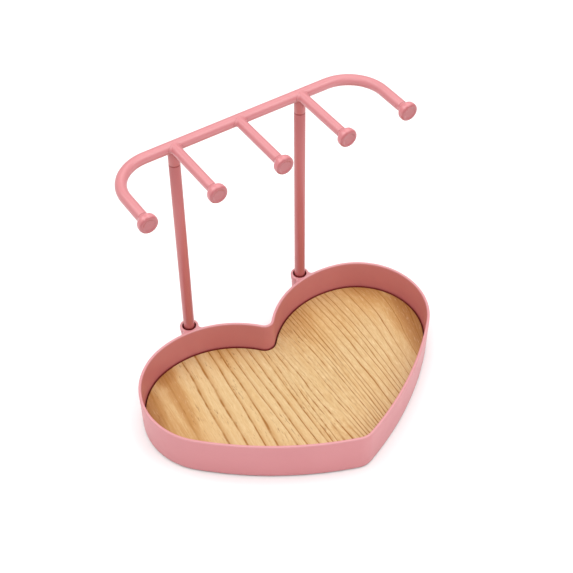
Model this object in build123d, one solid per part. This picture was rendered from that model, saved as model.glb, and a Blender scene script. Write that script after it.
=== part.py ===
"""Jewelry display rack: a heart-shaped tray with a wooden board, and a knock-down rack of rods.

Millimetres, +Z up, +X to the right seen from the front, -Y to the front.
The origin is at the middle of the outer box, on the surface that the foot pads stand on.
"""
from build123d import *
import math
import os

# Heart outline of the tray's rim: five circles, each tangent to the next
LOBE_SPACING = 127.5       # between the centres of the two lobes
LOBE_R = 52.2
LOBE_TO_TIP = 99.1         # from the lobe centres forward to the tip
SIDE_R = 262.0             # long side from lobe to tip
TIP_R = 14.8
LOBE_TO_NOTCH = 26.4       # from the lobe centres back to the bottom of the notch
SHOULDER_R = 71.7          # from lobe to notch
NOTCH_R = 5.4

# Tray moulding
TRAY_HEIGHT = 33.4
WALL = 2.1                 # at the rim
OUTER_DRAFT = 0.8          # how far the outside leans in from rim to base
INNER_DRAFT = 0.3          # how far the inside leans in from rim to floor
FLOOR = 2.4
BASE_RECESS = 1.0          # hollow under the floor
BASE_RING = 3.6            # width of the ring round that hollow
RIM_ROUND = 0.9
BASE_ROUND = 1.2

# Sockets for the posts, moulded on the back of the wall
POST_SPACING = 98.0
SOCKET_LIP_R = 7.0
SOCKET_NECK_R = 6.5
SOCKET_LIP = 2.5           # height of the lip
SOCKET_TAPER = 4.5         # height of the cone between lip and neck
SOCKET_FLOOR = 3.0
SOCKET_FILLET = 2.5        # hollow between the socket and the wall
MOUTH_R = 5.0              # wide mouth that leaves a dark ring round the post
MOUTH_DEPTH = 6.0
MOUTH_TO_WALL = 0.3        # from the mouth to the outside of the wall
SOCKET_FIT = 0.05          # radial clearance of the post in its socket

# Wooden board
BOARD_THICKNESS = 5.2
BOARD_GAP = 0.9            # to the wall, all round
BOARD_EDGE = 0.5

# Foot pads
PAD_R = 6.0
PAD_THICKNESS = 1.6
PAD_EDGE = 0.3
PAD_IN_LOBE = 34.0         # rear pads, back from the lobe centres
PAD_SIDE_X = 72.0          # side pads
PAD_SIDE_Y = 32.0          # forward of the lobe centres
PAD_FROM_TIP = 20.0

# Posts and the joint under the rail
POST_R = 4.0
POST_BORE_R = 3.0
POST_LENGTH = 185.0
POST_CHAMFER = 0.35
SPIGOT_FIT = 0.05          # radial clearance of the spigot in the post
SPIGOT_IN_POST = 20.0
SPIGOT_IN_STUB = 8.0
SPIGOT_CHAMFER = 0.5
STUB_DROP = 14.3           # from the rail's axis to the joint with the post
STUB_WELD = 0.8

# Rail, pegs and knobs
RAIL_R = 3.9
PEG_R = 3.55
PEG_PITCH = 49.0
BEND_R = 28.0              # centreline of the two bent ends
REACH = 54.4               # from the rail's axis to the middle of the knobs
PEG_WELD = 1.8
TENON_R = 2.2              # turned end that holds the knob
TENON = 4.0
KNOB_R = 6.6
KNOB_FRONT_R = 1.9         # rounding round its face
KNOB_BACK_R = 3.2          # rounding behind
KNOB_BAND = 1.35           # straight between the two roundings
KNOB_BACK = 5.4            # from the widest part back to the shoulder on the rod
KNOB_NECK_R = 1.2
KNOB_DISH = 0.5            # depth of the dished face
KNOB_DISH_SLOPE = 1.3      # width of the slope round the dish


def meeting(a, a_reach, b, b_reach, side):
    """The point a_reach from a and b_reach from b, left (1) or right (-1) of the way from a to b."""
    span = (b - a).length
    along = (a_reach ** 2 - b_reach ** 2 + span ** 2) / (2 * span)
    across = math.sqrt(a_reach ** 2 - along ** 2)
    way = (b - a).normalized()
    return a + way * along + Vector(-way.Y, way.X) * across * side


# Centres of the outline's circles, first counted from the line through the lobe centres
LOBE = Vector(LOBE_SPACING / 2, 0)
NOTCH = Vector(0, LOBE_TO_NOTCH + NOTCH_R)
TIP = Vector(0, TIP_R - LOBE_TO_TIP)
SIDE = meeting(LOBE, SIDE_R - LOBE_R, TIP, SIDE_R - TIP_R, -1)
SHOULDER = meeting(LOBE, SHOULDER_R - LOBE_R, NOTCH, SHOULDER_R + NOTCH_R, 1)

# Places worked out from the sizes above
POST_X = POST_SPACING / 2
POST_FROM_SHOULDER = SHOULDER_R + MOUTH_TO_WALL + MOUTH_R
POST_FROM_LOBE = SHOULDER.Y + math.sqrt(POST_FROM_SHOULDER ** 2 - (POST_X - SHOULDER.X) ** 2)
LOBE_Y = (LOBE_TO_TIP - POST_FROM_LOBE - SOCKET_LIP_R) / 2
POST_Y = LOBE_Y + POST_FROM_LOBE
BASE_Z = PAD_THICKNESS - BASE_RECESS
RIM_Z = BASE_Z + TRAY_HEIGHT
FLOOR_Z = BASE_Z + BASE_RECESS + FLOOR
BOARD_INSET = WALL + INNER_DRAFT + BOARD_GAP
POST_Z = BASE_Z + SOCKET_FLOOR
POST_TOP = POST_Z + POST_LENGTH
RAIL_Z = POST_TOP + STUB_DROP
ARM_X = 2 * PEG_PITCH
SIDES = {"left": -1, "right": 1}

TOUCH = 0.01               # edges and corners this near to a place lie at it
STANDING = (Align.CENTER, Align.CENTER, Align.MIN)
HANGING = (Align.CENTER, Align.CENTER, Align.MAX)


def arc(centre, radius, start, end):
    """The short arc round a centre."""
    middle = centre + ((start - centre) + (end - centre)).normalized() * radius
    return ThreePointArc(start, middle, end)


def heart(inset):
    """The heart outline as eight tangent arcs, drawn in by an inset."""
    def touch(centre, radius, toward):
        return centre + (toward - centre).normalized() * (radius - inset)

    def flip(point):
        return Vector(-point.X, point.Y)

    tip_end = touch(SIDE, SIDE_R, TIP)
    side_end = touch(SIDE, SIDE_R, LOBE)
    lobe_end = touch(SHOULDER, SHOULDER_R, LOBE)
    notch_end = touch(SHOULDER, SHOULDER_R, NOTCH)
    right = [
        arc(SIDE, SIDE_R - inset, tip_end, side_end),
        arc(LOBE, LOBE_R - inset, side_end, lobe_end),
        arc(SHOULDER, SHOULDER_R - inset, lobe_end, notch_end),
    ]
    left = [edge.mirror(Plane.YZ) for edge in right]
    tip = arc(TIP, TIP_R - inset, flip(tip_end), tip_end)
    notch = arc(NOTCH, NOTCH_R + inset, notch_end, flip(notch_end))
    return Pos(0, LOBE_Y) * Face(Wire(right + [notch] + left + [tip]))


def lean(inward, height):
    """The angle of a wall that leans inward over a height."""
    return math.degrees(math.atan2(inward, height))


def tray_outline():
    """The rim's heart with both socket necks, and the hollows between them and the wall rounded."""
    outline = Sketch() + heart(0)
    for side in SIDES.values():
        outline += Pos(side * POST_X, POST_Y) * Circle(SOCKET_NECK_R)

    def at_socket(corner):
        return math.hypot(abs(corner.X) - POST_X, corner.Y - POST_Y) < SOCKET_NECK_R + TOUCH

    return fillet([corner for corner in outline.vertices() if at_socket(corner)], SOCKET_FILLET)


def flat_edges(solid, z):
    """Edges of a solid that lie flat at a height."""
    def lies_at(edge):
        box = edge.bounding_box()
        return abs(box.min.Z - z) < TOUCH and abs(box.max.Z - z) < TOUCH

    return ShapeList([edge for edge in solid.edges() if lies_at(edge)])


def tray():
    """Moulded heart: drafted wall, floor, hollow base and two sockets behind the wall."""
    rim = Pos(0, 0, RIM_Z)
    draft = lean(OUTER_DRAFT, TRAY_HEIGHT)
    body = extrude(rim * tray_outline(), amount=-TRAY_HEIGHT, taper=draft)
    lip = Cylinder(SOCKET_LIP_R, SOCKET_LIP, align=HANGING)
    cone = Cone(SOCKET_NECK_R - OUTER_DRAFT / 2, SOCKET_LIP_R, SOCKET_TAPER, align=HANGING)
    for side in SIDES.values():
        body += rim * Pos(side * POST_X, POST_Y) * lip
        body += rim * Pos(side * POST_X, POST_Y, -SOCKET_LIP) * cone
    body = fillet(flat_edges(body, BASE_Z), BASE_ROUND)
    well_depth = RIM_Z - FLOOR_Z
    body -= extrude(rim * heart(WALL), amount=-well_depth, taper=lean(INNER_DRAFT, well_depth))
    body = fillet(flat_edges(body, RIM_Z), RIM_ROUND)
    body -= extrude(Pos(0, 0, BASE_Z) * heart(BASE_RING), amount=BASE_RECESS)
    for side in SIDES.values():
        foot = Pos(side * POST_X, POST_Y)
        bore = Cylinder(POST_R + SOCKET_FIT, TRAY_HEIGHT, align=STANDING)
        mouth = Cylinder(MOUTH_R, MOUTH_DEPTH, align=HANGING)
        body -= foot * Pos(0, 0, POST_Z) * bore
        body -= foot * rim * mouth
    return body


def wood_board():
    """Heart-shaped board that lies on the tray's floor."""
    board = extrude(Pos(0, 0, FLOOR_Z) * heart(BOARD_INSET), amount=BOARD_THICKNESS)
    return chamfer(flat_edges(board, FLOOR_Z + BOARD_THICKNESS) + flat_edges(board, FLOOR_Z), BOARD_EDGE)


def rod(radius, bottom, top):
    """Upright rod on the axis of a post at x = 0."""
    return Pos(0, POST_Y, (bottom + top) / 2) * Cylinder(radius, top - bottom)


def post():
    """Tube with bevelled ends."""
    tube = chamfer(flat_edges(rod(POST_R, POST_Z, POST_TOP), POST_Z), POST_CHAMFER)
    tube = chamfer(flat_edges(tube, POST_TOP), POST_CHAMFER)
    return tube - rod(POST_BORE_R, POST_Z, POST_TOP)


def spigot():
    """Pin pressed into the stub, which slides into the top of a post."""
    pin = rod(POST_BORE_R - SPIGOT_FIT, POST_TOP - SPIGOT_IN_POST, POST_TOP + SPIGOT_IN_STUB)
    return chamfer(pin.edges().filter_by(GeomType.CIRCLE), SPIGOT_CHAMFER)


def rail_line():
    """Centreline of the rail, from the shoulder of one bent end to the other."""
    front = POST_Y - REACH + KNOB_BACK
    corners = [(-ARM_X, front), (-ARM_X, POST_Y), (ARM_X, POST_Y), (ARM_X, front)]
    return Pos(0, 0, RAIL_Z) * FilletPolyline(*corners, radius=BEND_R)


def tenon():
    """Turned end of a rod, ahead of its shoulder."""
    middle = POST_Y - REACH + KNOB_BACK - TENON / 2
    return Pos(0, middle, RAIL_Z) * Rot(X=90) * Cylinder(TENON_R, TENON)


def top_rail():
    """Rod bent forward at both ends."""
    line = rail_line()
    section = Plane(origin=line @ 0, z_dir=line % 0) * Circle(RAIL_R)
    ends = [Pos(side * ARM_X, 0, 0) * tenon() for side in SIDES.values()]
    return sweep(section, path=line) + ends


def rail_bar():
    """Straight stretch of the rail that the pegs and stubs are fitted to, at x = 0."""
    return Pos(0, POST_Y, RAIL_Z) * Rot(Y=90) * Cylinder(RAIL_R, PEG_PITCH)


def welded(branch, weld):
    """A branch saddled on the rail, with a round weld at its root."""
    joined = rail_bar() + branch
    roots = [edge for edge in joined.edges() if edge.geom_type not in (GeomType.LINE, GeomType.CIRCLE)]
    return fillet(roots, weld) - rail_bar()


def stub_rod():
    """Plain rod of a stub, up to the rail's axis."""
    return chamfer(flat_edges(rod(POST_R, POST_TOP, RAIL_Z), POST_TOP), POST_CHAMFER)


def peg_rod():
    """Plain rod of a peg, from the rail's axis to its shoulder, at x = 0."""
    length = REACH - KNOB_BACK
    return Pos(0, POST_Y - length / 2, RAIL_Z) * Rot(X=90) * Cylinder(PEG_R, length)


def stub():
    """Short end under the rail that meets the post, cut away where the peg above it stands."""
    bore = rod(POST_BORE_R - SPIGOT_FIT, POST_TOP, POST_TOP + SPIGOT_IN_STUB)
    return welded(stub_rod(), STUB_WELD) - peg_rod() - bore


def peg():
    """Straight peg with a turned end for its knob."""
    return welded(peg_rod(), PEG_WELD) + tenon()


def knob(neck_r):
    """Button turned round the rod's axis: neck, rounded edge and a slightly dished face."""
    back_r = KNOB_R - KNOB_BACK_R
    face_r = KNOB_R - KNOB_FRONT_R
    back = math.sqrt(KNOB_BACK_R ** 2 - (neck_r - back_r) ** 2)
    slant = math.sqrt(0.5)
    behind = (back_r + KNOB_BACK_R * slant, KNOB_BACK_R * slant)
    before = (face_r + KNOB_FRONT_R * slant, -KNOB_BAND - KNOB_FRONT_R * slant)
    front = -KNOB_BAND - KNOB_FRONT_R
    dish = front + KNOB_DISH
    seat = KNOB_BACK - TENON
    profile = [
        Line((TENON_R, KNOB_BACK), (neck_r, KNOB_BACK)),
        Line((neck_r, KNOB_BACK), (neck_r, back)),
        ThreePointArc((neck_r, back), behind, (KNOB_R, 0)),
        Line((KNOB_R, 0), (KNOB_R, -KNOB_BAND)),
        ThreePointArc((KNOB_R, -KNOB_BAND), before, (face_r, front)),
        Line((face_r, front), (face_r - KNOB_DISH_SLOPE, dish)),
        Line((face_r - KNOB_DISH_SLOPE, dish), (0, dish)),
        Line((0, dish), (0, seat)),
        Line((0, seat), (TENON_R, seat)),
        Line((TENON_R, seat), (TENON_R, KNOB_BACK)),
    ]
    face = Face(Wire([line.edge() for line in profile]))
    corner = face.vertices().sort_by_distance((neck_r, back))[0]
    turned = revolve(fillet([corner], KNOB_NECK_R), Axis.Y)
    return Pos(0, POST_Y - REACH, RAIL_Z) * turned


def foot_pad(x, y):
    """Round stick-on pad in the hollow of the base."""
    pad = Pos(x, y, PAD_THICKNESS / 2) * Cylinder(PAD_R, PAD_THICKNESS)
    return fillet(flat_edges(pad, 0), PAD_EDGE)


def all_parts():
    """Every piece of the rack by its name."""
    parts = {"tray": tray(), "wood_board": wood_board(), "top_rail": top_rail()}
    for name, side in SIDES.items():
        place = Pos(side * POST_X, 0, 0)
        parts["post_" + name] = place * post()
        parts["spigot_" + name] = place * spigot()
        parts["rail_stub_" + name] = place * stub()
        parts["peg_" + name] = Pos(side * PEG_PITCH, 0, 0) * (peg() - stub_rod())
        parts["knob_peg_" + name] = Pos(side * PEG_PITCH, 0, 0) * knob(PEG_R)
        parts["knob_end_" + name] = Pos(side * ARM_X, 0, 0) * knob(RAIL_R)
        parts["foot_pad_rear_" + name] = foot_pad(side * LOBE.X, LOBE_Y + PAD_IN_LOBE)
        parts["foot_pad_side_" + name] = foot_pad(side * PAD_SIDE_X, LOBE_Y - PAD_SIDE_Y)
    parts["peg_middle"] = peg()
    parts["knob_peg_middle"] = knob(PEG_R)
    parts["foot_pad_tip"] = foot_pad(0, LOBE_Y - LOBE_TO_TIP + PAD_FROM_TIP)
    return parts


os.makedirs("parts", exist_ok=True)
for name, shape in all_parts().items():
    export_step(shape, "parts/" + name + ".step")
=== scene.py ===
"""Looks of the jewelry display rack: heart tray, wooden board, posts, rail, pegs and knobs.

Shapes are worked out in millimetres, +Z up and -Y to the front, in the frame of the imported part.
"""

import math

import bmesh
import bpy
import numpy as np
from mathutils import Matrix, Vector


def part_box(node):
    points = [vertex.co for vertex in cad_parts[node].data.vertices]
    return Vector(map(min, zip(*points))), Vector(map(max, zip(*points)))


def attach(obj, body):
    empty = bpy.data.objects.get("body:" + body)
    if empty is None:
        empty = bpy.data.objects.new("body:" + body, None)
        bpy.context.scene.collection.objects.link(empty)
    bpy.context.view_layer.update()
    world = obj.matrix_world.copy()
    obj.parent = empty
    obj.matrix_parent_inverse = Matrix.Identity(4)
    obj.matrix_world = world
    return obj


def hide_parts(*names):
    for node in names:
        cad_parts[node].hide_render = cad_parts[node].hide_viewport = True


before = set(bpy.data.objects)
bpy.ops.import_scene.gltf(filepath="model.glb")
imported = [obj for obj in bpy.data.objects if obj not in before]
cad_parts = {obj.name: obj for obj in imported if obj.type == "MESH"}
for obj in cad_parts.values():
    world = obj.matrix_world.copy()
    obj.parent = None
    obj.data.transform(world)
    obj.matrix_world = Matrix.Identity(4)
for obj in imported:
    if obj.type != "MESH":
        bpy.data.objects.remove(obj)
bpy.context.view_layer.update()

MM = 0.001                 # metres
SUPPORT = 0.05             # a ring this far inside a flat face keeps its shading flat
WELD = 0.0005              # points this near to each other are one
AROUND = 64                # faces round a rod or a knob
AROUND_HIDDEN = 48         # faces round what shows little: socket holes, pins and pads
BEND_STEPS = 25            # rings along each bend of the rail

# Heart outline of the rim
LOBE_SPACING = 127.5
LOBE_R = 52.2
LOBE_TO_TIP = 99.1
SIDE_R = 262.0
TIP_R = 14.8
LOBE_TO_NOTCH = 26.4
SHOULDER_R = 71.7
NOTCH_R = 5.4

# Tray moulding
WALL = 2.1
OUTER_DRAFT = 0.8
INNER_DRAFT = 0.3
FLOOR = 2.4
BASE_RECESS = 1.0
BASE_RING = 3.6
RIM_ROUND = 0.9
BASE_ROUND = 1.2
FLOOR_ROUND = 0.2

# Sockets behind the wall
LIP_R = 7.0
NECK_R = 6.5
LIP = 2.5
LIP_TAPER = 4.5
SOCKET_HOLLOW = 2.5
MOUTH_R = 5.0
MOUTH_DEPTH = 6.0
MOUTH_ROUND = 0.35
BORE_R = 4.05

# Wooden board
BOARD_GAP = 0.9
BOARD_EDGE = 0.5

# Growth lines of the board, counted from left to right at y = GRAIN_FROM_Y: bands of (from x, to x, lines)
GRAIN_FROM_Y = 45.0
GRAIN_BANDS = ((-113.0, -82.4, 2), (-82.4, -64.7, 1), (-64.7, -42.1, 2), (-42.1, -8.4, 5), (-8.4, 42.9, 17),
               (42.9, 59.0, 3), (59.0, 66.9, 2), (66.9, 72.2, 1), (72.2, 88.7, 2), (88.7, 116.0, 2))
# Brown places of the board, those at its ends and back partly painted shade next to the walls: (x, y,
# reach, depth, share).
# A distance from front to back counts by the share alone, so a small share makes a place long in that
# direction.
BROWN_AND_SHADE_PLACES = ((-109.0, 26.0, 23.0, 1.3, 0.3), (-82.0, 66.0, 15.0, 0.9, 0.5), (-81.0, 32.0, 12.0, 0.75, 0.25),
           (-94.0, -4.0, 34.0, 0.5, 0.4), (-32.0, 66.0, 18.0, 0.5, 0.5), (32.0, 62.0, 32.0, 0.45, 0.5),
           (96.0, 66.0, 28.0, 0.75, 0.5), (120.0, 4.0, 36.0, 1.1, 0.5))

# Rods
POST_R = 4.0
POST_BORE_R = 3.0
POST_CHAMFER = 0.35
SPIGOT_FIT = 0.05
SPIGOT_IN_STUB = 8.0
SPIGOT_ROUND = 0.5
RAIL_R = 3.9
PEG_R = 3.55
BEND_R = 28.0
STUB_WELD = 0.8
PEG_WELD = 1.8
TENON_R = 2.2
TENON = 4.0
SHOULDER_EDGE = 0.1

# Knobs
KNOB_FRONT_R = 1.9
KNOB_BACK_R = 3.2
KNOB_BAND = 1.35
KNOB_BACK = 5.4
KNOB_NECK_R = 1.2
KNOB_DISH = 0.5
KNOB_DISH_SLOPE = 1.3

# Pads under the tray
PAD_EDGE = 0.3


def corners(node):
    """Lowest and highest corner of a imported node, in millimetres."""
    low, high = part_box(node)
    return np.array(low) / MM, np.array(high) / MM


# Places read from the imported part
TRAY_LOW, TRAY_HIGH = corners("tray")
BOARD_LOW, BOARD_HIGH = corners("wood_board")
POST_LOW, POST_HIGH = corners("post_right")
SPIGOT_LOW, SPIGOT_HIGH = corners("spigot_right")
RAIL_LOW, RAIL_HIGH = corners("top_rail")
KNOB_LOW, KNOB_HIGH = corners("knob_peg_middle")
END_LOW, END_HIGH = corners("knob_end_right")

BASE_Z, RIM_Z = TRAY_LOW[2], TRAY_HIGH[2]
POST = (POST_LOW[:2] + POST_HIGH[:2]) / 2
POST_Z, POST_TOP = POST_LOW[2], POST_HIGH[2]
RAIL_Z = (RAIL_LOW[2] + RAIL_HIGH[2]) / 2
RAIL_Y = POST[1]
KNOB_R = (KNOB_HIGH[0] - KNOB_LOW[0]) / 2
KNOB_Y = KNOB_HIGH[1] - KNOB_BACK
PEG_X = POST[0]
ARM_X = (END_LOW[0] + END_HIGH[0]) / 2
LOBE_Y = TRAY_LOW[1] + LOBE_TO_TIP
FLOOR_Z = BASE_Z + BASE_RECESS + FLOOR
SIDES = {"left": -1, "right": 1}
PEG_PLACES = {"left": -PEG_X, "middle": 0, "right": PEG_X}


# Outlines seen from above

def meeting(a, a_reach, b, b_reach, side):
    """The point a_reach from a and b_reach from b, left (1) or right (-1) of the way from a to b."""
    span = math.dist(a, b)
    along = (a_reach ** 2 - b_reach ** 2 + span ** 2) / (2 * span)
    across = math.sqrt(a_reach ** 2 - along ** 2)
    way = (b - a) / span
    return a + way * along + np.array((-way[1], way[0])) * across * side


LOBE = np.array((LOBE_SPACING / 2, LOBE_Y))
NOTCH = np.array((0, LOBE_Y + LOBE_TO_NOTCH + NOTCH_R))
TIP = np.array((0, LOBE_Y + TIP_R - LOBE_TO_TIP))
SIDE = meeting(LOBE, SIDE_R - LOBE_R, TIP, SIDE_R - TIP_R, -1)
SHOULDER = meeting(LOBE, SHOULDER_R - LOBE_R, NOTCH, SHOULDER_R + NOTCH_R, 1)
FORWARD = np.array((0, -1))


def arc(centre, radius, start, end, count, long_way=False):
    """Points of a circle, centre + radius * (cos a, sin a), as a runs from one direction to another.

    The end itself is left out, because the next arc starts there.
    """
    first = math.atan2(start[1], start[0])
    sweep = (math.atan2(end[1], end[0]) - first + math.pi) % (2 * math.pi) - math.pi
    if long_way:
        sweep -= math.copysign(2 * math.pi, sweep)
    angle = first + sweep * np.arange(count) / count
    return centre + radius * np.column_stack((np.cos(angle), np.sin(angle)))


def shoulder_with_socket(inset, socket_r, hollow):
    """The shoulder with a socket standing out of it: two hollow arcs lead onto its circle and off it."""
    radius = SHOULDER_R - inset
    before, after = (meeting(SHOULDER, radius + hollow, POST, socket_r + hollow, side) for side in (1, -1))
    if before[0] < after[0]:
        before, after = after, before
    return [
        arc(SHOULDER, radius, LOBE - SHOULDER, before - SHOULDER, 14),
        arc(before, hollow, SHOULDER - before, POST - before, 8),
        arc(POST, socket_r, before - POST, after - POST, 44, long_way=True),
        arc(after, hollow, POST - after, SHOULDER - after, 8),
        arc(SHOULDER, radius, after - SHOULDER, NOTCH - SHOULDER, 30),
    ]


def heart(inset, socket_r=None, hollow=None):
    """The heart drawn in by an inset: tangent arcs from tip to notch, and their mirror image back.

    The last number of each arc is its count of points, which lie closer where the curve is tight.
    """
    if socket_r is None:
        shoulder = [arc(SHOULDER, SHOULDER_R - inset, LOBE - SHOULDER, NOTCH - SHOULDER, 48)]
    else:
        shoulder = shoulder_with_socket(inset, socket_r, hollow)
    right = np.vstack([
        arc(TIP, TIP_R - inset, FORWARD, TIP - SIDE, 12),
        arc(SIDE, SIDE_R - inset, TIP - SIDE, LOBE - SIDE, 60),
        arc(LOBE, LOBE_R - inset, LOBE - SIDE, LOBE - SHOULDER, 110),
        *shoulder,
        arc(NOTCH, NOTCH_R + inset, SHOULDER - NOTCH, FORWARD, 10),
        NOTCH + FORWARD * (NOTCH_R + inset),
    ])
    return np.vstack((right, right[-2:0:-1] * (-1, 1)))


def level(outline, z):
    """An outline as one row of a grid, at a height."""
    return np.column_stack((outline, np.full(len(outline), z)))


def quarter(count):
    """Sine and cosine of the angles of a rounding, from 0 to 90 degrees."""
    angle = np.linspace(0, math.pi / 2, count)
    return np.column_stack((np.sin(angle), np.cos(angle)))


# Surfaces in space

def full_turn(count=AROUND):
    """Angles of a full turn; the last one is left out, because it meets the first."""
    return np.linspace(0, 2 * math.pi, count, endpoint=False)


def lathe(profile, centre, axis, segments=AROUND):
    """A profile of (radius, along) turned round an axis through a centre.

    Each point is centre + radius * (cos a * side + sin a * up) + along * axis.
    """
    axis = np.array(axis, float)
    side = np.cross(axis, (0, 0, 1)) if abs(axis[2]) < 0.5 else np.array((1.0, 0, 0))
    up = np.cross(side, axis)
    angle = full_turn(segments)
    spoke = np.outer(np.cos(angle), side) + np.outer(np.sin(angle), up)
    radius, along = np.array(profile, float).T
    return np.array(centre) + radius[:, None, None] * spoke + along[:, None, None] * axis


def upright_lathe(profile, side, segments=AROUND):
    """A profile of (radius, height) turned round the axis of the post at one side."""
    return lathe(profile, (side * POST[0], POST[1], 0), (0, 0, 1), segments)


def rounded_corner(corner, before, after, radius, count):
    """Points of the arc that rounds a corner of a profile between its two neighbours.

    At a share s of the turn t, it is (sin((1 - s) t) * start + sin(s t) * end) / sin t from the centre.
    """
    corner, before, after = (np.array(point, float) for point in (corner, before, after))
    to_before = (before - corner) / math.dist(before, corner)
    to_after = (after - corner) / math.dist(after, corner)
    half = math.acos(np.clip(to_before @ to_after, -1, 1)) / 2
    middle = (to_before + to_after) / np.linalg.norm(to_before + to_after)
    centre = corner + middle * radius / math.sin(half)
    start = corner + to_before * radius / math.tan(half) - centre
    end = corner + to_after * radius / math.tan(half) - centre
    turn = math.pi - 2 * half
    share = np.linspace(0, 1, count)[:, None]
    return centre + (np.sin((1 - share) * turn) * start + np.sin(share * turn) * end) / math.sin(turn)


def skin(grids):
    """One mesh of quads from grids of points, each closed round its columns."""
    points, faces, first = [], [], 0
    for grid in grids:
        rows, columns = grid.shape[:2]
        index = first + np.arange(rows * columns).reshape(rows, columns)
        beside = np.roll(index, -1, axis=1)
        faces.append(np.stack((index[:-1], beside[:-1], beside[1:], index[1:]), axis=-1).reshape(-1, 4))
        points.append(grid.reshape(-1, 3))
        first += rows * columns
    mesh = bpy.data.meshes.new("skin")
    mesh.from_pydata(np.vstack(points) * MM, [], np.vstack(faces))
    return mesh


def close_flats(work):
    """Fills a shell's open rings, all at one height together, so that a ring in a ring stays a hole."""
    heights = {}
    for edge in work.edges:
        if edge.is_boundary:
            heights.setdefault(round(edge.verts[0].co.z / MM, 2), []).append(edge)
    for edges in heights.values():
        bmesh.ops.triangle_fill(work, edges=edges, use_beauty=True, normal=(0, 0, 1))


def piece(node, grids, body):
    """A closed smooth piece from its grids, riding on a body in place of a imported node."""
    name = node + "_look"
    mesh = skin(grids)
    work = bmesh.new()
    work.from_mesh(mesh)
    bmesh.ops.remove_doubles(work, verts=work.verts, dist=WELD * MM)
    close_flats(work)
    bmesh.ops.recalc_face_normals(work, faces=work.faces)
    work.to_mesh(mesh)
    work.free()
    mesh.name = name
    mesh.shade_smooth()
    made = bpy.data.objects.new(name, mesh)
    bpy.context.scene.collection.objects.link(made)
    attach(made, body)
    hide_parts(node)
    return made


# The tray

def outer_wall():
    """Outside of the tray and its sockets from the base ring up and over the rim, each level a heart.

    At a height z it is drawn in by OUTER_DRAFT * (RIM_Z - z) / height, and further in the two roundings.
    """
    height = RIM_Z - BASE_Z
    rows = [level(heart(OUTER_DRAFT + BASE_ROUND + SUPPORT, NECK_R - OUTER_DRAFT - BASE_ROUND - SUPPORT,
                        SOCKET_HOLLOW + OUTER_DRAFT + BASE_ROUND + SUPPORT), BASE_Z)]

    def ring(z, socket_r, inset=0.0):
        drawn_in = inset + OUTER_DRAFT * (RIM_Z - z) / height
        return level(heart(drawn_in, socket_r - drawn_in, SOCKET_HOLLOW + drawn_in), z)

    for sine, cosine in quarter(7):
        rows.append(ring(BASE_Z + BASE_ROUND * (1 - cosine), NECK_R, BASE_ROUND * (1 - sine)))
    cone = RIM_Z - LIP - LIP_TAPER
    for z in np.linspace(BASE_Z + BASE_ROUND, cone, 8)[1:]:
        rows.append(ring(z, NECK_R))
    for share in np.linspace(0, 1, 7)[1:]:
        eased = share * share * (3 - 2 * share)
        rows.append(ring(cone + LIP_TAPER * share, NECK_R + (LIP_R - NECK_R) * eased))
    for sine, cosine in quarter(8):
        rows.append(ring(RIM_Z - RIM_ROUND * (1 - sine), LIP_R, RIM_ROUND * (1 - cosine)))
    rows.append(ring(RIM_Z, LIP_R, RIM_ROUND + SUPPORT))
    return np.array(rows)


def inner_wall():
    """Inside of the wall from the rim's flat down to the floor, each level a heart.

    At a height z it is drawn in by WALL + INNER_DRAFT * (RIM_Z - z) / depth.
    """
    depth = RIM_Z - FLOOR_Z
    rows = [level(heart(WALL - RIM_ROUND - SUPPORT), RIM_Z)]
    for sine, cosine in quarter(8):
        rows.append(level(heart(WALL - RIM_ROUND * (1 - sine)), RIM_Z - RIM_ROUND * (1 - cosine)))
    for z in np.linspace(RIM_Z - RIM_ROUND, FLOOR_Z + FLOOR_ROUND, 10)[1:]:
        rows.append(level(heart(WALL + INNER_DRAFT * (RIM_Z - z) / depth), z))
    for sine, cosine in quarter(4)[1:]:
        inset = WALL + INNER_DRAFT + FLOOR_ROUND * (1 - cosine)
        rows.append(level(heart(inset), FLOOR_Z + FLOOR_ROUND * (1 - sine)))
    rows.append(level(heart(WALL + INNER_DRAFT + FLOOR_ROUND + SUPPORT), FLOOR_Z))
    return np.array(rows)


def base_recess():
    """The shallow hollow under the floor, from the base ring up to its ceiling."""
    levels = [
        (BASE_RING - SUPPORT, 0),
        (BASE_RING, SUPPORT),
        (BASE_RING, BASE_RECESS - SUPPORT),
        (BASE_RING + SUPPORT, BASE_RECESS),
    ]
    return np.array([level(heart(inset), BASE_Z + rise) for inset, rise in levels])


def socket_hole(side):
    """Mouth, step and bore of one socket, down to its closed bottom."""
    profile = [(MOUTH_R + MOUTH_ROUND + SUPPORT, RIM_Z)]
    profile += [(MOUTH_R + MOUTH_ROUND * (1 - sine), RIM_Z - MOUTH_ROUND * (1 - cosine))
                for sine, cosine in quarter(5)]
    profile += [
        (MOUTH_R, RIM_Z - MOUTH_DEPTH + SUPPORT),
        (MOUTH_R - SUPPORT, RIM_Z - MOUTH_DEPTH),
        (BORE_R + SUPPORT, RIM_Z - MOUTH_DEPTH),
        (BORE_R, RIM_Z - MOUTH_DEPTH - SUPPORT),
        (BORE_R, POST_Z + SUPPORT),
        (BORE_R - SUPPORT, POST_Z),
        (0, POST_Z),
    ]
    return upright_lathe(profile, side, AROUND_HIDDEN)


def tray():
    """The moulding: outer and inner wall, the hollow under the floor, and the holes of both sockets."""
    holes = [socket_hole(side) for side in SIDES.values()]
    return piece("tray", [outer_wall(), inner_wall(), base_recess(), *holes], "tray")


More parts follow.
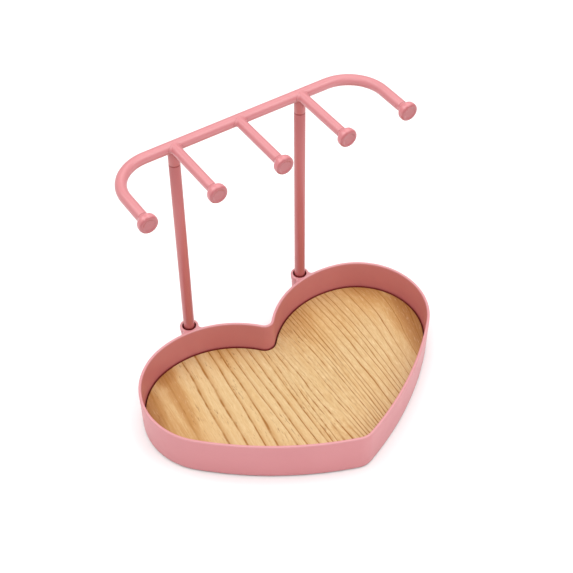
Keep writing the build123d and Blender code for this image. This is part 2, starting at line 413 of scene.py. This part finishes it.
def wood_board():
    """The board, its top and bottom edges eased by a small rounding.

    Each level is a heart drawn in by the tray's wall, its draft and the gap, and further in the roundings.
    """
    inset = WALL + INNER_DRAFT + BOARD_GAP
    bottom, top = BOARD_LOW[2], BOARD_HIGH[2]
    rows = [level(heart(inset + BOARD_EDGE + SUPPORT), bottom)]
    for sine, cosine in quarter(6):
        rows.append(level(heart(inset + BOARD_EDGE * (1 - sine)), bottom + BOARD_EDGE * (1 - cosine)))
    for sine, cosine in quarter(6):
        rows.append(level(heart(inset + BOARD_EDGE * (1 - cosine)), top - BOARD_EDGE * (1 - sine)))
    rows.append(level(heart(inset + BOARD_EDGE + SUPPORT), top))
    return piece("wood_board", [np.array(rows)], "board")


# Posts and pins

def bevelled(profile, bevels):
    """A profile with some of its corners rounded; bevels gives each corner's radius by its index."""
    points = []
    for index, corner in enumerate(profile):
        if index in bevels:
            before, after = profile[index - 1], profile[(index + 1) % len(profile)]
            points += list(rounded_corner(corner, before, after, bevels[index], 5))
        else:
            points.append(corner)
    return points


def post(name, side):
    """A tube, its ends rounded outside, as a profile turned round the post's axis and closed on itself."""
    loop = [(POST_R, POST_Z), (POST_R, POST_TOP), (POST_BORE_R, POST_TOP), (POST_BORE_R, POST_Z)]
    profile = bevelled(loop, {0: POST_CHAMFER, 1: POST_CHAMFER, 2: SHOULDER_EDGE, 3: SHOULDER_EDGE})
    return piece("post_" + name, [upright_lathe(profile + profile[:1], side)], "posts")


def spigot(name, side):
    """A turned pin with rounded ends."""
    radius = POST_BORE_R - SPIGOT_FIT
    loop = [(0, SPIGOT_LOW[2]), (radius, SPIGOT_LOW[2]), (radius, SPIGOT_HIGH[2]), (0, SPIGOT_HIGH[2])]
    profile = bevelled(loop, {1: SPIGOT_ROUND, 2: SPIGOT_ROUND})
    return piece("spigot_" + name, [upright_lathe(profile, side, AROUND_HIDDEN)], "rail")


# Rail, stubs, pegs and knobs

def rod_end(radius, shoulder):
    """Profile of a rod's front end: rounded shoulder, then the tenon and its flat end."""
    loop = [(radius, -BEND_R), (radius, shoulder), (TENON_R, shoulder), (TENON_R, shoulder + TENON),
            (0, shoulder + TENON)]
    return bevelled(loop, {1: SHOULDER_EDGE, 3: SHOULDER_EDGE})[1:]


def rail_line():
    """Rows (x, y, heading, radius) along the rail: left tenon, two quarter-circle bends, right tenon."""
    shoulder_y = KNOB_Y + KNOB_BACK
    ends = [(shoulder_y - along, radius) for radius, along in rod_end(RAIL_R, 0.0)]
    rows = [(-ARM_X, y, 0.0, radius) for y, radius in reversed(ends)]
    for angle in np.linspace(0, math.pi / 2, BEND_STEPS):
        x, y = -ARM_X + BEND_R * (1 - math.cos(angle)), RAIL_Y - BEND_R * (1 - math.sin(angle))
        rows.append((x, y, angle, RAIL_R))
    for angle in np.linspace(0, math.pi / 2, BEND_STEPS):
        x, y = ARM_X - BEND_R * (1 - math.sin(angle)), RAIL_Y - BEND_R * (1 - math.cos(angle))
        rows.append((x, y, math.pi / 2 + angle, RAIL_R))
    rows += [(ARM_X, y, math.pi, radius) for y, radius in ends]
    return np.array(rows)


def top_rail():
    """A round rod swept along a line that bends forward at both ends, with a tenon on each.

    Round a point of the line the rod is middle + radius * (cos a * across + sin a * up), where across is
    square to the line's heading.
    """
    x, y, heading, radius = rail_line().T
    turn = full_turn()
    across = np.stack((np.cos(heading), -np.sin(heading), np.zeros(len(x))), axis=-1)
    up = np.array((0, 0, 1.0))
    middle = np.stack((x, y, np.full(len(x), RAIL_Z)), axis=-1)
    spoke = np.cos(turn)[None, :, None] * across[:, None] + np.sin(turn)[None, :, None] * up
    grid = middle[:, None] + radius[:, None, None] * spoke
    return piece("top_rail", [grid], "rail")


def welded_root(radius, weld):
    """Root of a branch on the rail, as points (across, upward, outward) from the rail's axis.

    A ball of the weld's size rolls round the branch and touches the rail too. Each column is the arc
    between its two touching points, and the saddle under the branch lies just inside the rail's skin.
    """
    turn = full_turn()
    across = (radius + weld) * np.cos(turn)
    upward = (radius + weld) * np.sin(turn)
    outward = np.sqrt(np.maximum((RAIL_R + weld) ** 2 - upward ** 2, SUPPORT))
    ball = np.stack((across, upward, outward), axis=-1)
    reach = np.hypot(upward, outward)
    on_rail = np.stack((across, upward / reach * RAIL_R, outward / reach * RAIL_R), axis=-1)
    on_branch = np.stack((radius * np.cos(turn), radius * np.sin(turn), outward), axis=-1)
    first, last = (on_rail - ball) / weld, (on_branch - ball) / weld
    angle = np.arccos(np.clip((first * last).sum(-1) / np.linalg.norm(first, axis=-1), -1, 1))[:, None]
    angle = np.maximum(angle, 1e-4)
    rows = []
    for share in np.linspace(0, 1, 10):
        between = np.sin((1 - share) * angle) * first + np.sin(share * angle) * last
        rows.append(ball + weld * between / np.sin(angle))
    saddle = []
    for share in np.linspace(0, 1, 6)[:-1]:
        flat = on_rail[:, :2] * share
        depth = np.sqrt(np.maximum((RAIL_R - SUPPORT) ** 2 - flat[:, 1] ** 2, 0))
        saddle.append(np.column_stack((flat, depth)))
    return np.array(saddle + rows)


def branch(name, root, profile, x, right, up, out):
    """A rod that grows out of the rail: its root, then a turned profile of (radius, outward)."""
    turn = full_turn()
    circle = np.column_stack((np.cos(turn), np.sin(turn)))
    rows = [np.column_stack((circle * radius, np.full(AROUND, along))) for radius, along in profile]
    grid = np.vstack((root, rows)) @ np.array((right, up, out), float)
    return piece(name, [grid + (x, RAIL_Y, RAIL_Z)], "rail")


def peg(name, x):
    """A straight peg: its weld on the rail, then the rod with a tenon for its knob."""
    end = rod_end(PEG_R, RAIL_Y - KNOB_Y - KNOB_BACK)
    return branch("peg_" + name, welded_root(PEG_R, PEG_WELD), end, x, (1, 0, 0), (0, 0, 1), (0, -1, 0))


def stub(name, x):
    """The short end over a post, with the bore that holds the pin."""
    drop = RAIL_Z - POST_TOP
    bore_r = POST_BORE_R - SPIGOT_FIT
    loop = [(POST_R, 0), (POST_R, drop), (bore_r, drop), (bore_r, drop - SPIGOT_IN_STUB),
            (0, drop - SPIGOT_IN_STUB)]
    end = bevelled(loop, {1: POST_CHAMFER, 2: SHOULDER_EDGE, 3: SHOULDER_EDGE})[1:]
    root = welded_root(POST_R, STUB_WELD)
    return branch("rail_stub_" + name, root, end, x, (1, 0, 0), (0, 1, 0), (0, 0, -1))


def knob_profile(neck_r):
    """A button's profile from its seat on the rod round the back, edge and dished face to its middle."""
    back_r, face_r = KNOB_R - KNOB_BACK_R, KNOB_R - KNOB_FRONT_R
    back = math.sqrt(KNOB_BACK_R ** 2 - (neck_r - back_r) ** 2)
    neck = (neck_r, -KNOB_BACK)
    start = math.atan2(back, neck_r - back_r)
    behind = [(back_r + KNOB_BACK_R * math.cos(angle), -KNOB_BACK_R * math.sin(angle))
              for angle in np.linspace(start, 0, 12)]
    # The hollow where the back runs into the neck takes the place of the back's first points
    hollow = rounded_corner(behind[0], neck, behind[2], KNOB_NECK_R, 7)
    before = [(face_r + KNOB_FRONT_R * cosine, KNOB_BAND + KNOB_FRONT_R * sine)
              for sine, cosine in quarter(12)]
    front = KNOB_BAND + KNOB_FRONT_R
    slope = [(face_r - KNOB_DISH_SLOPE * share, front - KNOB_DISH * share ** 2 * (3 - 2 * share))
             for share in np.linspace(0, 1, 8)[1:]]
    seat = TENON - KNOB_BACK
    inside = [(0, seat), (TENON_R, seat), (TENON_R, -KNOB_BACK), (neck_r - SUPPORT, -KNOB_BACK), neck]
    return inside + list(hollow) + behind[3:] + before + slope + [(0, front - KNOB_DISH)]


def knob(name, x, neck_r):
    """A button, its profile turned round the axis of the rod that carries it."""
    grid = lathe(knob_profile(neck_r), (x, KNOB_Y, RAIL_Z), (0, -1, 0))
    return piece("knob_" + name, [grid], "rail")


def foot_pad(name):
    """A stick-on pad, its lower edge rounded."""
    low, high = corners(name)
    x, y = (low[:2] + high[:2]) / 2
    radius = (high[0] - low[0]) / 2
    profile = [(0, high[2]), (radius, high[2])]
    profile += [(radius - PAD_EDGE * (1 - cosine), low[2] + PAD_EDGE * (1 - sine))
                for sine, cosine in quarter(5)]
    profile += [(radius - PAD_EDGE - SUPPORT, low[2]), (0, low[2])]
    grid = lathe(profile, (x, y, 0), (0, 0, 1), AROUND_HIDDEN)
    return piece(name, [grid], "tray")


# Materials

# painted shade in gaps and joints
GAP_SHADE_PINK = (0.25, 0.008, 0.007)       # in gaps and joints
# painted shade: the rail's shadow below a joint, and shade on a knob's face
SOFT_SHADE_PINK = (0.32, 0.05, 0.054)        # below a joint, and on the face of a knob
# painted highlight on the rim's top
RIM_HIGHLIGHT_PINK = (0.61, 0.24, 0.255)        # on the tray's rim
# reach of the rail's painted shadow down a post
RAIL_SHADOW_FADE = 45.0                       # length below a joint in which its deeper tone fades out

PALE_WOOD = (0.635, 0.455, 0.23)
CREAM = (0.8, 0.62, 0.36)
HONEY = (0.57, 0.335, 0.12)
BROWN = (0.43, 0.205, 0.045)
# deepest tone of the brown places, partly painted shade
DEEP_BROWN_AND_SHADE = (0.38, 0.172, 0.048)
LINE_BROWN = (0.3, 0.118, 0.014)
PORE_BROWN = (0.22, 0.09, 0.018)
# painted highlight on the board's rounded edge
EDGE_HIGHLIGHT_WOOD = (0.95, 0.74, 0.46)


class Term:
    """A socket of a finish. Arithmetic on it adds Math nodes."""

    def __init__(self, finish, socket):
        self.finish = finish
        self.socket = socket

    def maths(self, operation, *others):
        """The result of a Math node whose first value is this one."""
        return self.finish.maths(operation, self, *others)

    def __add__(self, other):
        return self.maths("ADD", other)

    __radd__ = __add__

    def __mul__(self, other):
        return self.maths("MULTIPLY", other)

    __rmul__ = __mul__

    def __sub__(self, other):
        return self.maths("SUBTRACT", other)

    def __rsub__(self, other):
        return self.finish.maths("SUBTRACT", other, self)

    def __truediv__(self, other):
        return self.maths("DIVIDE", other)

    def __pow__(self, other):
        return self.maths("POWER", other)

    def __neg__(self):
        return self.maths("MULTIPLY", -1.0)

    def __abs__(self):
        return self.maths("ABSOLUTE")

    def lesser(self, other):
        return self.maths("MINIMUM", other)

    def greater(self, other):
        return self.maths("MAXIMUM", other)

    def round(self):
        return self.maths("ROUND")

    def rise(self, low, high):
        """0 below low, 1 above high, smooth between."""
        sockets = {"Value": self, "From Min": low, "From Max": high}
        return self.finish.node("ShaderNodeMapRange", {"interpolation_type": "SMOOTHSTEP"}, sockets)


class Finish:
    """A material on the way: nodes for its patterns, and one surface shader."""

    def __init__(self, name):
        self.material = bpy.data.materials.new(name)
        self.material.use_nodes = True
        self.tree = self.material.node_tree
        self.tree.nodes.clear()
        self.place = self.node("ShaderNodeTexCoord", output="Object")
        self.x, self.y, self.z = (self.in_millimetres(axis) for axis in "XYZ")

    def node(self, kind, settings=None, sockets=None, output=0):
        """Adds a node, its settings first, then the values or links of its sockets."""
        node = self.tree.nodes.new(kind)
        for name, value in (settings or {}).items():
            setattr(node, name, value)
        for name, value in (sockets or {}).items():
            if isinstance(value, Term):
                self.tree.links.new(value.socket, node.inputs[name])
            else:
                node.inputs[name].default_value = value
        return Term(self, node.outputs[output]) if node.outputs else None

    def maths(self, operation, *values):
        """The result of a Math node."""
        return self.node("ShaderNodeMath", {"operation": operation}, dict(enumerate(values)))

    def in_millimetres(self, axis):
        """The place on the piece along one axis, in millimetres."""
        parts = self.node("ShaderNodeSeparateXYZ", sockets={"Vector": self.place}, output=axis)
        return parts / MM

    def point(self, x, y, z):
        """A point that a noise can be read at."""
        return self.node("ShaderNodeCombineXYZ", sockets={"X": x, "Y": y, "Z": z})

    def ramp(self, value, start, end, top):
        """0 before start, top after end, straight between."""
        sockets = {"Value": value, "From Min": start, "From Max": end, "To Max": float(top)}
        return self.node("ShaderNodeMapRange", sockets=sockets)

    def noise(self, point, size, detail=2.0, roughness=0.5):
        """Soft noise from 0 to 1 whose blotches are about size across, in the point's own units."""
        sockets = {"Vector": point, "Scale": 1.0 / size, "Detail": detail, "Roughness": roughness}
        return self.node("ShaderNodeTexNoise", sockets=sockets)

    def here(self):
        """The place on the piece in millimetres."""
        return self.point(self.x, self.y, self.z)

    def blend(self, share, first, second):
        """Two colours mixed by a share: the first at 0, the second at 1."""
        sockets = {0: share, 6: self.colour(first), 7: self.colour(second)}
        return self.node("ShaderNodeMix", {"data_type": "RGBA"}, sockets, output=2)

    @staticmethod
    def colour(value):
        """A colour as a socket takes it, made opaque where it is three numbers."""
        return value if isinstance(value, Term) else (*value, 1.0)

    def bump(self, height, depth):
        """Normal of a relief: a height from 0 to 1, and its depth in millimetres."""
        return self.node("ShaderNodeBump", sockets={"Height": height, "Distance": depth * MM})

    def surface(self, **sockets):
        """Ends the finish with its shader, whose sockets are given by their names with _ for a space."""
        named = {name.replace("_", " "): value for name, value in sockets.items()}
        shader = self.node("ShaderNodeBsdfPrincipled", sockets=named)
        self.node("ShaderNodeOutputMaterial", sockets={"Surface": shader})
        return self.material


def pink_satin(name, colour, deep, grain, grain_depth, roughness, sheen,
               crease=None, seam=None, face=None, rim=None):
    """Dusty pink: a faint cloud of a deeper tone, a fine grain, and a gloss that wanders a little.

    Gaps narrower than the crease, in millimetres, get painted shade. A seam is the height of a joint
    between rods: painted shade is dark in it, and a painted shadow of the rail lies a little deeper below
    it. A face is the place along Y where the front of a knob begins, which gets painted shade too. Above
    the rim, a height, a painted highlight makes the skin paler.
    """
    finish = Finish(name)
    here = finish.here()
    cloud = finish.noise(here, 38.0, detail=3.0)
    skin_grain = finish.noise(here, grain, detail=2.0)
    base = finish.blend(cloud.rise(0.3, 0.75), colour, deep)
    # painted highlight on the top of the rim
    if rim is not None:
        base = finish.blend((finish.z - rim).rise(-0.3, 0.3), base, RIM_HIGHLIGHT_PINK)
    # painted shade: places that little light reaches, in gaps and creases, turn dark
    if crease is not None:
        sockets = {"Distance": crease * MM}
        open_to_air = finish.node("ShaderNodeAmbientOcclusion", {"samples": 6}, sockets, output="AO")
        base = finish.blend(open_to_air.rise(0.42, 0.95), GAP_SHADE_PINK, base)
    if seam is not None:
        # painted shadow of the rail and pegs, deeper just below the joint and fading down the post
        above = finish.z - seam
        below = (1.0 + above / RAIL_SHADOW_FADE).rise(0.0, 1.0) * (-above).rise(0.0, 0.4)
        base = finish.blend(below * 0.3, base, SOFT_SHADE_PINK)
        # painted shade in the joint itself
        base = finish.blend((1.0 - abs(above).rise(0.25, 0.7)) * 0.75, base, GAP_SHADE_PINK)
    # painted shade on the front of a knob
    if face is not None:
        base = finish.blend((face - finish.y).rise(-0.6, 0.6) * 0.5, base, SOFT_SHADE_PINK)
    rough = roughness + (finish.noise(here, 9.0) - 0.5) * 0.1
    return finish.surface(
        Base_Color=base, Roughness=rough, Normal=finish.bump(skin_grain, grain_depth),
        IOR=1.6, Specular_IOR_Level=sheen)


def across_grain(finish):
    """Place across the growth lines, which lean left toward the front, bow at the right and waver.

    The third number of a point is the noise's own, here and below, so that no two patterns run alike.
    """
    x, y = finish.x, finish.y
    forward = GRAIN_FROM_Y - y
    lean = 0.055 * (-x).rise(-8.0, 8.0) + 0.07 * (-x).rise(32.0, 48.0)
    past = (x - 45.0).greater(0.0)
    bow = 0.0005 * x.rise(10.0, 40.0) + past * past * 1.5e-6
    wave = finish.noise(finish.point(x * 0.5, y * 0.3, 0.0), 14.0, detail=2.0) - 0.5
    ripple = finish.noise(finish.point(x, y * 0.2, 2.0), 4.0, detail=1.0) - 0.5
    uneven = finish.noise(finish.point(x, y * 0.03, 4.0), 5.0, detail=1.0) - 0.5
    return x + forward * lean + forward * forward * bow + wave * 2.0 + ripple * 0.7 + uneven * 2.6


def nearest_line(finish, across):
    """Nearest growth line: the first one's place, and in each band its whole lines times their spacing."""
    nearest = GRAIN_BANDS[0][0]
    for start, end, lines in GRAIN_BANDS:
        nearest = finish.ramp(across, start, end, lines).round() * ((end - start) / lines) + nearest
    return nearest


def growth_lines(finish, across, left, right):
    """Strength from 0 to 1 of the thin dark lines, and of the soft brown shade at the right of each.

    The lines are bold at the left of the board, faint and close in the middle, and thin at the right. Each
    line has tones of its own, and one that breaks it up along its length.
    """
    y = finish.y
    nearest = nearest_line(finish, across)
    beside = across - nearest
    own = finish.noise(finish.point(nearest * 0.37, y * 0.018, 6.0), 1.0, detail=2.0)
    other = finish.noise(finish.point(nearest * 0.53, y * 0.03, 8.0), 1.0, detail=1.0)
    broken = finish.noise(finish.point(nearest * 0.7, y * 0.11, 9.0), 1.0, detail=2.0)
    middle = 1.0 - left - right
    far_left = (-across).rise(38.0, 50.0)
    left_end = (-across).rise(74.0, 82.0)
    tip = (-y).rise(40.0, 64.0)

    bold = left * (0.42 + 0.55 * broken.rise(0.35, 0.6)) * (1.0 - left_end * 0.6)
    thin = right * (0.35 + 0.6 * own.rise(0.3, 0.6))
    faint = middle * (own.rise(0.38, 0.6) * (0.35 + 0.65 * broken.rise(0.4, 0.56))
                      + tip * 0.6 + across.rise(20.0, 32.0) * 0.35)
    half_width = 0.5 + left * own * 0.4 + far_left * broken * 0.9
    line = 1.0 - abs(beside).rise(0.12, half_width)

    shade_width = 1.6 + left * 1.2 + far_left * other * 3.0
    shade = beside.rise(-0.7, 0.1) * (1.0 - beside.rise(0.2, shade_width))
    shade_depth = left * (0.25 + other * 0.45) + right * 0.3 + middle * (0.1 + tip * 0.2)
    return line * (bold + thin + faint).lesser(1.0), shade * shade_depth


def brown_and_shade(finish, across, streak):
    """Depth of the brown places, partly painted shade. Each fades out over its reach, made ragged by a
    cloud and streaky.
    """
    cloud = finish.noise(finish.point(across, finish.y * 0.25, 18.0), 12.0, detail=3.0)
    brown_and_shade_depth = cloud.rise(0.5, 0.8) * 0.15
    for place_x, place_y, reach, depth, share in BROWN_AND_SHADE_PLACES:
        away = ((across - place_x) ** 2.0 + ((finish.y - place_y) * share) ** 2.0) ** 0.5
        away = away + (cloud - 0.5) * 14.0
        brown_and_shade_depth = brown_and_shade_depth.greater((-away).rise(-reach, -reach * 0.2) * depth)
    return brown_and_shade_depth * (0.45 + streak * 1.1)


def pale_ash():
    """Ash board: growth lines with short pores between them, brown at its ends and its back, partly as
    painted shade.

    Flecks along the grain are brown or cream, and a painted highlight makes the rounded edge paler than the
    face.
    """
    finish = Finish("pale_ash")
    x, y = finish.x, finish.y
    across = across_grain(finish)
    left = (-across).rise(2.0, 12.0)
    right = across.rise(30.0, 44.0)
    line, shade = growth_lines(finish, across, left, right)

    streak = finish.noise(finish.point(across, y * 0.03, 10.0), 1.3, detail=3.0, roughness=0.7)
    fleck = finish.noise(finish.point(across, y * 0.16, 12.0), 0.9, detail=3.0, roughness=0.75)
    dash = finish.noise(finish.point(across, y * 0.13, 14.0), 0.8, detail=1.0)
    gathered = finish.noise(finish.point(x * 0.6, y * 0.12, 16.0), 4.0).rise(0.42, 0.64)
    pore = dash.rise(0.62, 0.72) * gathered * (1.0 - right)
    brown_and_shade_depth = brown_and_shade(finish, across, streak)
    golden = x.rise(16.0, 44.0) * y.rise(0.0, 40.0) * 0.4 + (streak - 0.42).greater(0.0) * 2.0
    # painted highlight on the rounded top edge
    edge_highlight = 1.0 - (finish.z - BOARD_HIGH[2]).rise(-BOARD_EDGE, -0.04)

    base = finish.blend(golden.lesser(1.0), PALE_WOOD, HONEY)
    # brown places, partly painted shade next to the walls, go toward honey and a deep brown
    base = finish.blend((brown_and_shade_depth * 1.5).lesser(1.0), base, HONEY)
    base = finish.blend((brown_and_shade_depth - 0.3).greater(0.0) * 1.2, base, DEEP_BROWN_AND_SHADE)
    base = finish.blend((fleck - 0.45).greater(0.0) * (1.9 - left * 0.8), base, BROWN)
    base = finish.blend((0.43 - fleck).greater(0.0) * (3.0 - left * 1.2), base, CREAM)
    base = finish.blend(shade, base, BROWN)
    base = finish.blend(line, base, LINE_BROWN)
    base = finish.blend(pore * 0.6, base, PORE_BROWN)
    base = finish.blend(edge_highlight * 0.85, base, EDGE_HIGHLIGHT_WOOD)
    relief = 1.0 - line * 0.5 - pore * 0.8 + (fleck - 0.5) * 0.6
    return finish.surface(
        Base_Color=base, Roughness=0.46 + pore * 0.2 + (streak - 0.5) * 0.12,
        Normal=finish.bump(relief, 0.05), Specular_IOR_Level=0.35)


def turned_steel():
    """Plain steel with fine turning marks round the pin."""
    finish = Finish("turned_steel")
    marks = finish.noise(finish.point(finish.z * 12.0, 0.0, 0.0), 1.0, detail=3.0)
    smear = finish.noise(finish.here(), 2.4, detail=2.0)
    base = finish.blend(smear, (0.56, 0.56, 0.57), (0.67, 0.67, 0.69))
    return finish.surface(
        Base_Color=base, Metallic=1.0, Roughness=0.26 + marks * 0.16, Normal=finish.bump(marks, 0.01))


def grey_rubber():
    """Soft grey rubber, a little dusty."""
    finish = Finish("grey_rubber")
    dust = finish.noise(finish.here(), 3.0, detail=4.0)
    fine = finish.noise(finish.here(), 0.35, detail=2.0)
    base = finish.blend(dust.rise(0.35, 0.75), (0.33, 0.31, 0.3), (0.43, 0.41, 0.4))
    return finish.surface(Base_Color=base, Roughness=0.6 + dust * 0.25, Normal=finish.bump(fine, 0.02))


def white_floor():
    """Plain white, with hardly any cloud."""
    finish = Finish("studio_floor")
    shade = finish.noise(finish.here(), 300.0)
    white = finish.blend(shade, (0.93, 0.93, 0.93), (0.95, 0.95, 0.95))
    return finish.surface(Base_Color=white, Roughness=0.9, Specular_IOR_Level=0.2)


def dress(pieces, material):
    """Gives pieces one finish all over."""
    for made in pieces:
        made.data.materials.append(material)


# The object

# The tray: painted shade in the gap round the board and in other creases, and a painted highlight on the
# rim's top.
moulded_pink = pink_satin(
    "moulded_pink", (0.6, 0.186, 0.202), (0.58, 0.174, 0.19), grain=0.5, grain_depth=0.012,
    roughness=0.4, sheen=0.85, crease=2.2, rim=RIM_Z - RIM_ROUND)
# Rail and pegs: painted shade in the corners of their welds.
painted_pink = pink_satin(
    "painted_pink", (0.57, 0.197, 0.21), (0.55, 0.185, 0.198), grain=0.9, grain_depth=0.01,
    roughness=0.32, sheen=0.6, crease=2.0)
# Posts and stubs: a darker copy of the rail's paint, painted shade for their upright sides, with painted
# shade in gaps; on the stubs it reaches far enough to paint the rail's shadow on their tops.
post_pink_shaded, stub_pink_shaded = (
    pink_satin(name, (0.52, 0.142, 0.14), (0.5, 0.132, 0.13), grain=0.9, grain_depth=0.01,
               roughness=0.32, sheen=0.45, crease=crease, seam=POST_TOP)
    for name, crease in (("post_pink_shaded", 2.0), ("stub_pink_shaded", 8.0)))
# Knobs: the rail's paint made a little lighter, a painted highlight for their lit tops, with painted shade
# on their faces.
button_pink = pink_satin(
    "button_pink", (0.6, 0.205, 0.22), (0.58, 0.193, 0.207), grain=0.6, grain_depth=0.006,
    roughness=0.18, sheen=0.55, face=KNOB_Y - KNOB_BAND - KNOB_FRONT_R + KNOB_DISH * 2.0)

dress([tray()], moulded_pink)
dress([wood_board()], pale_ash())
dress([post(name, side) for name, side in SIDES.items()], post_pink_shaded)
dress([spigot(name, side) for name, side in SIDES.items()], turned_steel())
dress([top_rail()], painted_pink)
dress([stub(name, side * POST[0]) for name, side in SIDES.items()], stub_pink_shaded)
dress([peg(name, x) for name, x in PEG_PLACES.items()], painted_pink)
dress([knob("peg_" + name, x, PEG_R) for name, x in PEG_PLACES.items()], button_pink)
dress([knob("end_" + name, side * ARM_X, RAIL_R) for name, side in SIDES.items()], button_pink)
dress([foot_pad(name) for name in sorted(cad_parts) if name.startswith("foot_pad")], grey_rubber())


# Floor, light and camera

FLOOR_REACH = 6.0                      # metres to each side
SURROUNDINGS = 0.65                    # brightness of the white all round
LIGHTS_MEET = (0.0, 0.0, 0.1)          # metres, the place that every light faces
PANEL_OUT, PANEL_UP = 0.61, 1.28       # metres, where the panels round the object hang
PANELS = (("front right", 1, -1, 2.5), ("back right", 1, 1, 1.2),
          ("back left", -1, 1, 2.0), ("front left", -1, -1, 1.0))


def floor():
    """A flat square of white under the object, level with z = 0."""
    mesh = bpy.data.meshes.new("floor")
    signs = ((-1, -1), (1, -1), (1, 1), (-1, 1))
    mesh.from_pydata([(x * FLOOR_REACH, y * FLOOR_REACH, 0) for x, y in signs], [], [(0, 1, 2, 3)])
    made = bpy.data.objects.new("floor", mesh)
    bpy.context.scene.collection.objects.link(made)
    mesh.materials.append(white_floor())


def soft_light(name, place, width, height, glow):
    """A panel that faces the object, as bright as pure white surroundings where its glow is 1."""
    data = bpy.data.lights.new(name, "AREA")
    data.shape = "RECTANGLE"
    data.size, data.size_y = width, height
    data.energy = glow * math.pi * width * height
    made = bpy.data.objects.new(name, data)
    bpy.context.scene.collection.objects.link(made)
    made.location = place
    made.rotation_euler = (Vector(LIGHTS_MEET) - Vector(place)).to_track_quat("-Z", "Y").to_euler()


def studio():
    """White surroundings, a panel overhead, four round the object, and a small key light at the left."""
    world = bpy.data.worlds.new("studio")
    bpy.context.scene.world = world
    world.use_nodes = True
    background = world.node_tree.nodes["Background"]
    background.inputs["Color"].default_value = (1.0, 1.0, 1.0, 1.0)
    background.inputs["Strength"].default_value = SURROUNDINGS
    soft_light("overhead", (0.0, 0.0, 1.5), 1.0, 1.0, 1.4)
    for name, x, y, glow in PANELS:
        soft_light(name, (x * PANEL_OUT, y * PANEL_OUT, PANEL_UP), 1.0, 0.9, glow)
    soft_light("key", (-0.45, -0.35, 1.0), 0.14, 0.14, 9.0)
    bpy.context.scene.view_settings.view_transform = "Standard"


AZIMUTH, ELEVATION, ROLL = -32.988, 45.46, -0.611    # degrees
FOCUS = 1272.53            # focal length in pixels of a picture PICTURE pixels wide
PICTURE = 573
AIM_RIGHT, AIM_UP, AIM_AWAY = -30.785, -9.049, 955.554   # the aim seen from the camera, millimetres


def camera():
    """The aim, midway between the posts at the rim, lies where the camera sees it in the picture."""
    azimuth, elevation, roll = (math.radians(angle) for angle in (AZIMUTH, ELEVATION, ROLL))
    back = Vector((math.sin(azimuth) * math.cos(elevation), -math.cos(azimuth) * math.cos(elevation),
                   math.sin(elevation)))
    level_right = (-back).cross(Vector((0, 0, 1))).normalized()
    level_up = level_right.cross(-back)
    right = level_right * math.cos(roll) + level_up * math.sin(roll)
    up = level_up * math.cos(roll) - level_right * math.sin(roll)
    aim = Vector((0, POST[1], RIM_Z))
    place = (aim - right * AIM_RIGHT - up * AIM_UP + back * AIM_AWAY) * MM
    data = bpy.data.cameras.new("camera")
    made = bpy.data.objects.new("camera", data)
    bpy.context.scene.collection.objects.link(made)
    made.matrix_world = Matrix.Translation(place) @ Matrix((right, up, back)).transposed().to_4x4()
    data.lens = FOCUS / PICTURE * data.sensor_width
    data.clip_start, data.clip_end = 0.05, 50.0
    bpy.context.scene.camera = made


floor()
studio()
camera()
